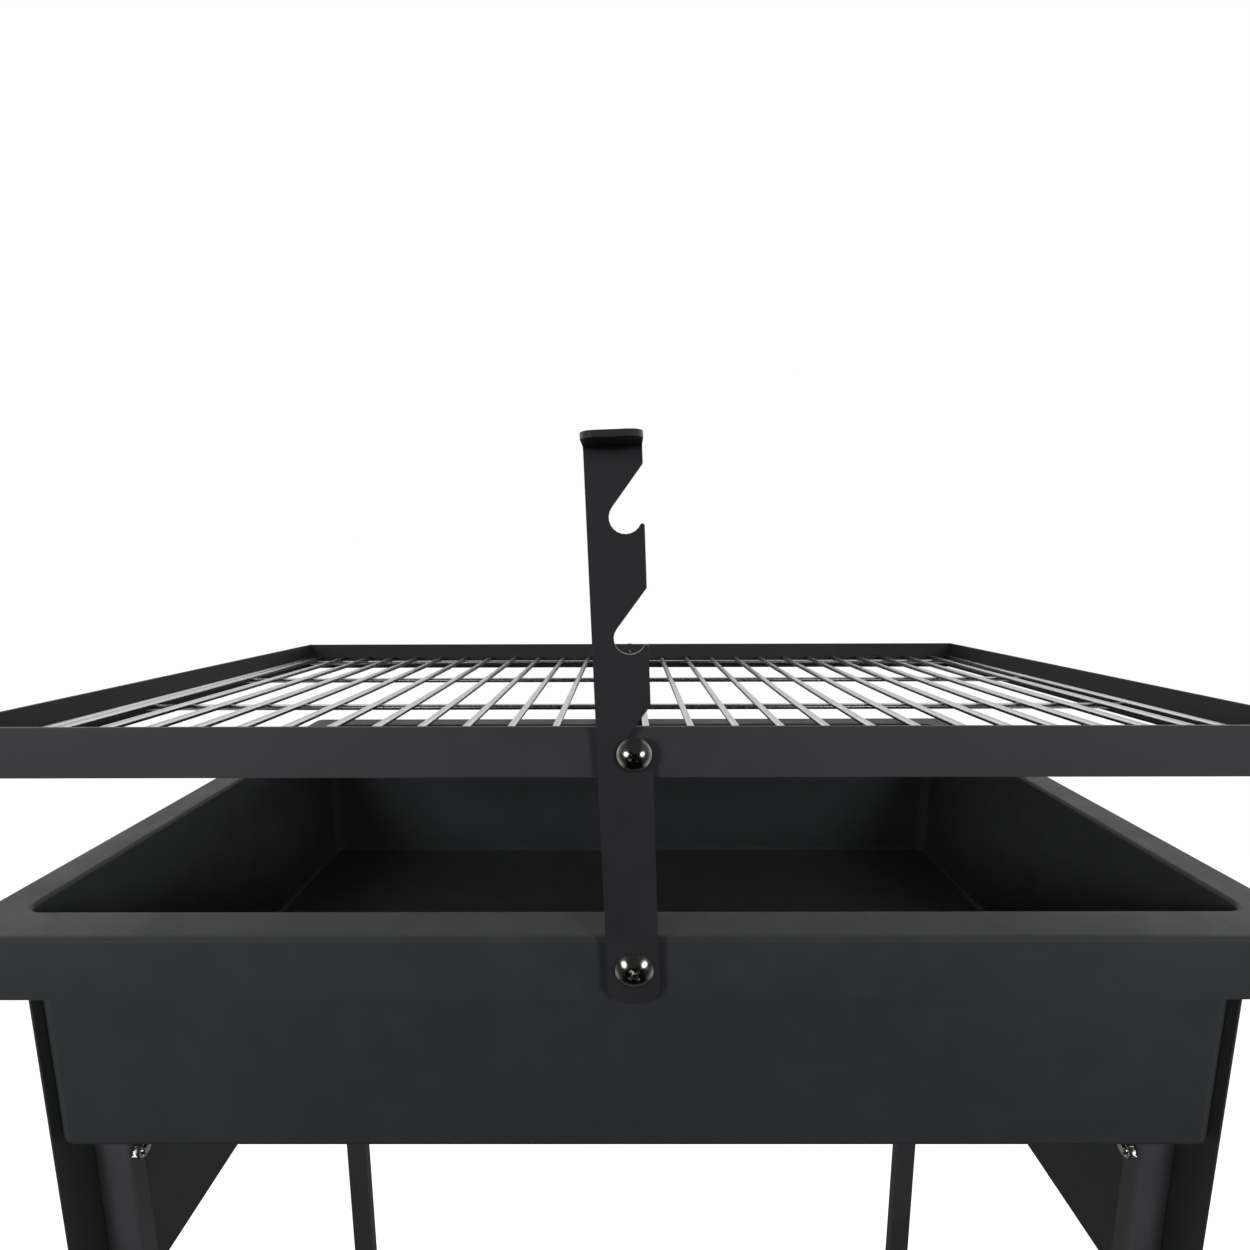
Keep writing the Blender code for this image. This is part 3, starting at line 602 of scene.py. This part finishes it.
class GRILL_OT_studio(bpy.types.Operator):
    """Sets up the pale floor, the white background, the softboxes and the camera"""
    bl_idname = "grill.studio"
    bl_label = "Studio"

    def execute(self, context):
        self.floor(context.scene)
        self.background(context.scene)
        self.lamps(context.scene)
        self.camera(context.scene)
        context.scene.view_settings.view_transform = "Standard"
        return {"FINISHED"}

    def floor(self, scene):
        """A wide grey floor. The camera sees it white, with a faint shadow of the grill, and gloss does not see it."""
        bm = bmesh.new()
        bmesh.ops.create_circle(bm, cap_ends=True, segments=96, radius=9.0)
        ground = bpy.data.objects.new("studio_floor", to_mesh("studio_floor", bm))
        scene.collection.objects.link(ground)
        ground.visible_glossy = False

        made = bpy.data.materials.new("studio_floor_paint")
        made.use_nodes = True
        tree = made.node_tree
        tree.nodes.clear()
        glow, glow_share, white = 1.54, 0.6, (0.9, 0.9, 0.9, 1.0)    # what the camera sees
        seen = node(tree, "ShaderNodeLightPath").outputs["Is Camera Ray"]
        colour = node(tree, "ShaderNodeMix", {
            "Factor": seen, "A": tuple(scene.grill_studio.floor), "B": white}, data_type="RGBA")
        paint = node(tree, "ShaderNodeBsdfDiffuse", {"Color": colour})
        glowing = node(tree, "ShaderNodeEmission", {"Strength": glow})
        share = node(tree, "ShaderNodeMath", {0: seen, 1: glow_share}, operation="MULTIPLY")
        both = node(tree, "ShaderNodeMixShader", {0: share, 1: paint, 2: glowing})
        node(tree, "ShaderNodeOutputMaterial", {"Surface": both})
        ground.data.materials.append(made)

    def background(self, scene):
        """White to the camera. Gloss sees white walls behind and beside the grill, a dark ceiling, a dark room in
        front and two small lamps there, which make the glints in the screws."""
        studio = scene.grill_studio
        world = bpy.data.worlds.new("studio_white")
        scene.world = world
        world.use_nodes = True
        tree = world.node_tree
        tree.nodes.clear()
        ray = node(tree, "ShaderNodeLightPath")

        # Left and right are alike
        way = node(tree, "ShaderNodeSeparateXYZ", {0: node(tree, "ShaderNodeTexCoord").outputs["Generated"]})
        aside = node(tree, "ShaderNodeMath", {0: way.outputs["X"]}, operation="ABSOLUTE")
        way = node(tree, "ShaderNodeCombineXYZ", {"X": aside, "Y": way.outputs["Y"], "Z": way.outputs["Z"]})
        # Each part of the room: a direction, the cosines of the angles to it between which the light changes, and
        # the light at either
        room = {
            "back_wall": ((0, 1, 0), -0.2, 0.1, 0.03, 0.9),
            "ceiling": ((0, 0, 1), 0.84, 0.97, 1.0, 0.55),
            "ground": ((0, 0, 1), -0.22, 0.0, 0.08, 1.0),
            "side_walls": ((1, 0, 0), 0.45, 0.7, 0.0, 0.35),
            "side_fronts": ((0, 1, 0), -0.4, -0.1, 0.1, 1.0),
            "lamps": (Vector((0.62, -0.78, -0.05)).normalized(), cos(radians(12)), cos(radians(8)), 0.0,
                      studio.glints),
        }
        light = {}
        for name, (direction, far, near, light_far, light_near) in room.items():
            cosine = node(tree, "ShaderNodeVectorMath", {0: way, 1: direction}, operation="DOT_PRODUCT")
            light[name] = node(tree, "ShaderNodeMapRange", {
                "Value": cosine, "From Min": far, "From Max": near, "To Min": light_far, "To Max": light_near})
        # Ceiling and ground dim the light of the back wall, and the side walls grow dark towards the front
        light["gloss"] = light["back_wall"]
        for operation, name, other in (
            ("MULTIPLY", "gloss", "ceiling"), ("MULTIPLY", "gloss", "ground"),
            ("MULTIPLY", "side_walls", "side_fronts"), ("ADD", "gloss", "side_walls"), ("ADD", "gloss", "lamps"),
        ):
            light[name] = node(tree, "ShaderNodeMath", {0: light[name], 1: light[other]}, operation=operation)
        plain = node(tree, "ShaderNodeMix", {
            "Factor": ray.outputs["Is Glossy Ray"], "A": studio.surroundings, "B": light["gloss"]})
        shown = node(tree, "ShaderNodeMix", {"Factor": ray.outputs["Is Camera Ray"], "A": plain, "B": 1.0})
        white = node(tree, "ShaderNodeBackground", {"Color": (1, 1, 1, 1), "Strength": shown})
        node(tree, "ShaderNodeOutputWorld", {"Surface": white})

    def lamps(self, scene):
        """A softbox to the left and one to the right of the camera, a little above it, whose light enters the pan
        between rim and rail and over the rail. A third lights the back."""
        studio = scene.grill_studio
        aim = Vector((0, 0, 0.72))    # the middle of the rim
        for name, power, spot in (
            ("softbox_left", studio.left, (-0.5, -0.72, 1.02)),
            ("softbox_right", studio.right, (0.5, -0.72, 1.02)),
            ("softbox_rear", studio.rear, (0.4, 1.5, 0.95)),
        ):
            light = bpy.data.lights.new(name, "AREA")
            light.energy = power
            light.shape = "DISK"
            light.size = 0.25    # across, in metres
            lamp = bpy.data.objects.new(name, light)
            lamp.location = spot
            lamp.rotation_euler = (aim - lamp.location).to_track_quat("-Z", "Y").to_euler()
            lamp.visible_glossy = False
            scene.collection.objects.link(lamp)

    def camera(self, scene):
        """The camera, where the photograph was taken from."""
        studio = scene.grill_studio
        data = bpy.data.cameras.new("camera")
        data.lens = studio.lens
        data.sensor_width = 36.0
        data.clip_start = 0.01    # the rack is 0.2 m from the camera
        camera = bpy.data.objects.new("camera", data)
        turn = Matrix.Rotation(studio.yaw, 4, "Z") @ Matrix.Rotation(pi / 2 - studio.pitch, 4, "X")
        camera.matrix_world = Matrix.Translation(studio.eye) @ turn @ Matrix.Rotation(-studio.roll, 4, "Z")
        scene.collection.objects.link(camera)
        scene.camera = camera


OPERATORS = (
    GRILL_OT_fire_pan, GRILL_OT_stand, GRILL_OT_rack, GRILL_OT_grate_frame, GRILL_OT_wires, GRILL_OT_screws,
    GRILL_OT_studio,
)


class GRILL_PT_looks(bpy.types.Panel):
    """Lists the grill's operators with the sizes and colours they use"""
    bl_idname = "GRILL_PT_looks"
    bl_label = "Charcoal grill"
    bl_space_type = "VIEW_3D"
    bl_region_type = "UI"
    bl_category = "Grill"

    def draw(self, context):
        for group in (context.scene.grill_sizes, context.scene.grill_colours, context.scene.grill_studio):
            column = self.layout.column(align=True)
            for name in group.__annotations__:
                column.prop(group, name)
        for operator in OPERATORS:
            self.layout.operator(operator.bl_idname)


GROUPS = {"grill_sizes": GrillSizes, "grill_colours": GrillColours, "grill_studio": GrillStudio}


def register():
    for made in (*GROUPS.values(), *OPERATORS, GRILL_PT_looks):
        bpy.utils.register_class(made)
    for name, group in GROUPS.items():
        setattr(bpy.types.Scene, name, PointerProperty(type=group))


def unregister():
    for name in GROUPS:
        delattr(bpy.types.Scene, name)
    for made in (GRILL_PT_looks, *reversed(OPERATORS), *reversed(GROUPS.values())):
        bpy.utils.unregister_class(made)


def main():
    register()
    bpy.ops.grill.fire_pan()
    bpy.ops.grill.stand()
    bpy.ops.grill.rack()
    bpy.ops.grill.grate_frame()
    bpy.ops.grill.wires()
    bpy.ops.grill.screws()
    bpy.ops.grill.studio()


if __name__ == "__main__":
    main()
